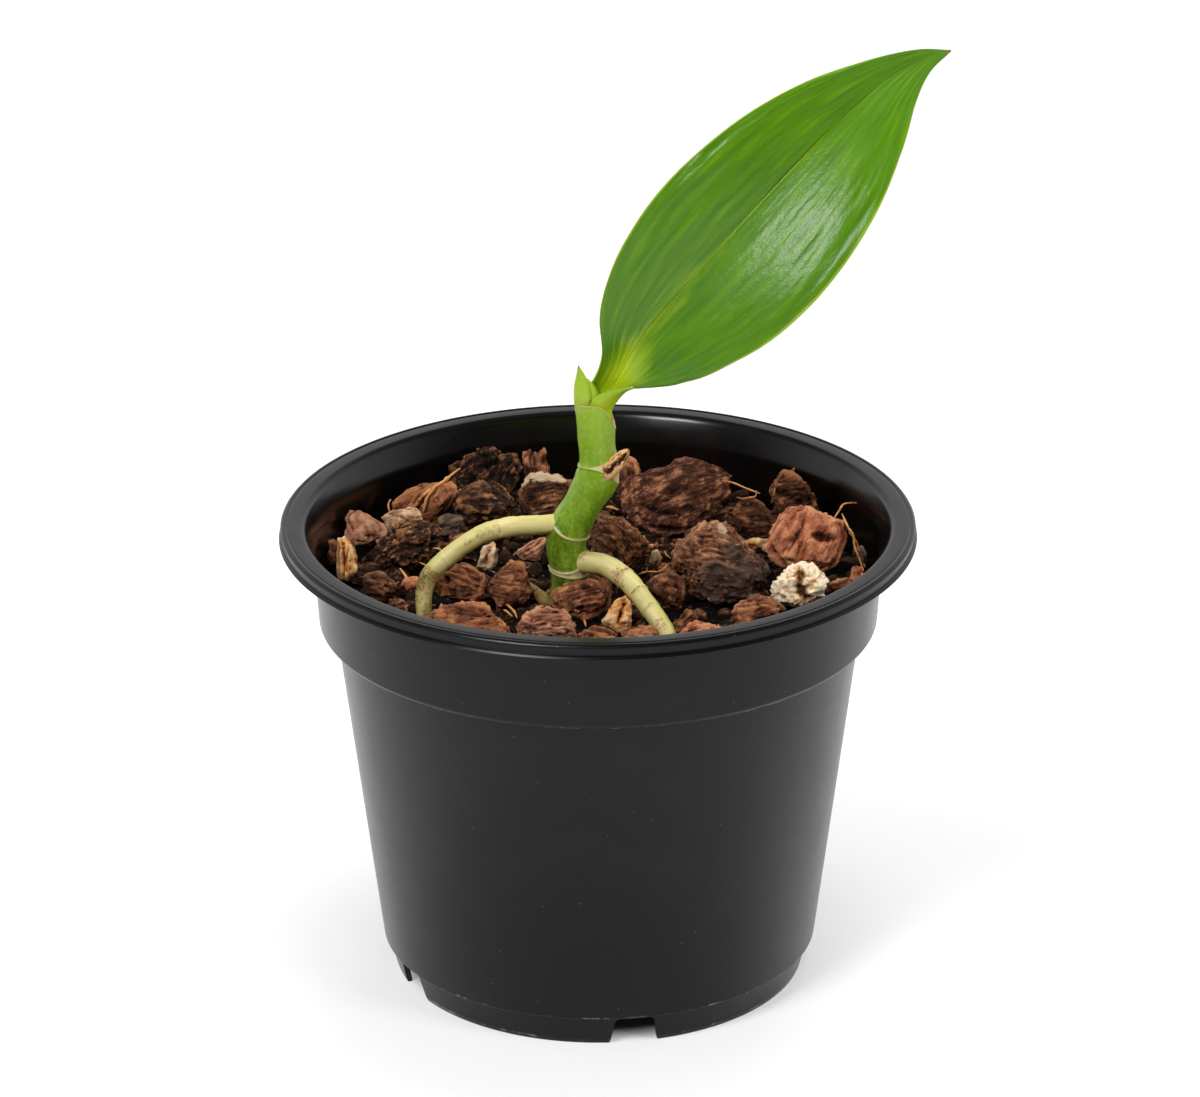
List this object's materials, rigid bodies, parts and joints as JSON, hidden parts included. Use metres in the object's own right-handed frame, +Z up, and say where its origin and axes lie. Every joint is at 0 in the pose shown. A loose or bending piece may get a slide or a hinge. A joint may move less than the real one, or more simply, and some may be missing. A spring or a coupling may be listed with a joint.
{
  "type": "potted vanilla orchid",
  "caption": "Vanilla orchid cutting with one upright pointed leaf, a jointed stem and arching aerial roots, rooted in loose orchid bark in a plain tapered nursery pot with a rolled lip.",
  "frame": {"origin": "on the surface the pot stands on, under the middle of the whole outline; the pot's own axis is 3.0 mm to the -X side of it, because the leaf tip hangs out past the rim on the +X side", "axes": "+Z up along the pot's axis, +X to the side the leaf leans to, +Y away from the viewer"},
  "size_m": [0.146, 0.14, 0.2103],
  "materials": {
    "pot_plastic": "satin, injection moulded black polypropylene",
    "bark_bed": "loose damp bark in shade",
    "bark_charcoal": "weathered dark outer pine bark, rough",
    "bark_brown": "red-brown pine bark, rough and flaky",
    "bark_rust": "rust coloured inner pine bark, rough",
    "bark_tan": "ochre to beige inner bark, fibrous",
    "pumice": "porous cream pumice with brown stains",
    "leaf_green": "waxy, leathery, glossy leaf",
    "stem_green": "smooth waxy fleshy stem",
    "shoot_green": "waxy scale leaves",
    "root_pale": "velvety pale green fleshy root",
    "root_olive": "dull olive root",
    "dried_tissue": "dry papery brown stub"
  },
  "bodies": {
    "root": {"pot": "pot_plastic", "stem": "stem_green", "leaf": "leaf_green", "young_shoot": "shoot_green", "dried_stub": "dried_tissue", "aerial_root_left": "root_pale", "aerial_root_right": "root_pale", "foot_root": "root_olive", "bark_bed": "bark_bed", "pumice_lump": "pumice", "bark_charcoal_right": "bark_charcoal", "bark_charcoal_left": "bark_charcoal", "bark_dark_by_stem": "bark_charcoal", "bark_charcoal_back_left": "bark_charcoal", "bark_peaked_right": "bark_charcoal", "bark_blue_grey": "bark_charcoal", "bark_grey_front_right": "bark_charcoal", "bark_grey_rim_right": "bark_charcoal", "bark_front_band_5": "bark_charcoal", "bark_crusted_back": "bark_charcoal", "bark_dark_back_right": "bark_charcoal", "bark_dark_back_left": "bark_charcoal", "bark_streaked_back": "bark_charcoal", "bark_behind_right_root": "bark_charcoal", "bark_round_left": "bark_charcoal", "bark_front_root": "bark_charcoal", "bark_dark_rim_left": "bark_charcoal", "bark_small_left": "bark_charcoal", "bark_front_band_2": "bark_charcoal", "bark_front_band_7": "bark_charcoal", "bark_slab_back": "bark_brown", "bark_by_stem_front": "bark_brown", "bark_fibrous_left": "bark_brown", "bark_fibrous_middle": "bark_brown", "bark_horned_back": "bark_brown", "bark_reddish_back": "bark_brown", "bark_red_front_right": "bark_brown", "bark_red_sliver": "bark_brown", "bark_front_centre": "bark_brown", "bark_red_right": "bark_brown", "bark_front_band_1": "bark_brown", "bark_front_band_4": "bark_brown", "bark_front_middle": "bark_brown", "bark_mauve_left": "bark_brown", "bark_grey_brown": "bark_brown", "bark_front_band_3": "bark_brown", "bark_rust_right": "bark_rust", "bark_front_left": "bark_rust", "bark_orange_back_left": "bark_rust", "bark_front_right": "bark_rust", "bark_orange_right": "bark_rust", "bark_front_band_6": "bark_rust", "bark_ochre_front": "bark_tan", "bark_ochre_left": "bark_tan", "bark_beige_left": "bark_tan", "bark_upright_tan": "bark_tan", "bark_tan_crumb": "bark_tan", "bark_twig_right": "bark_tan", "bark_orange_curl": "bark_tan"}
  },
  "joints": []
}
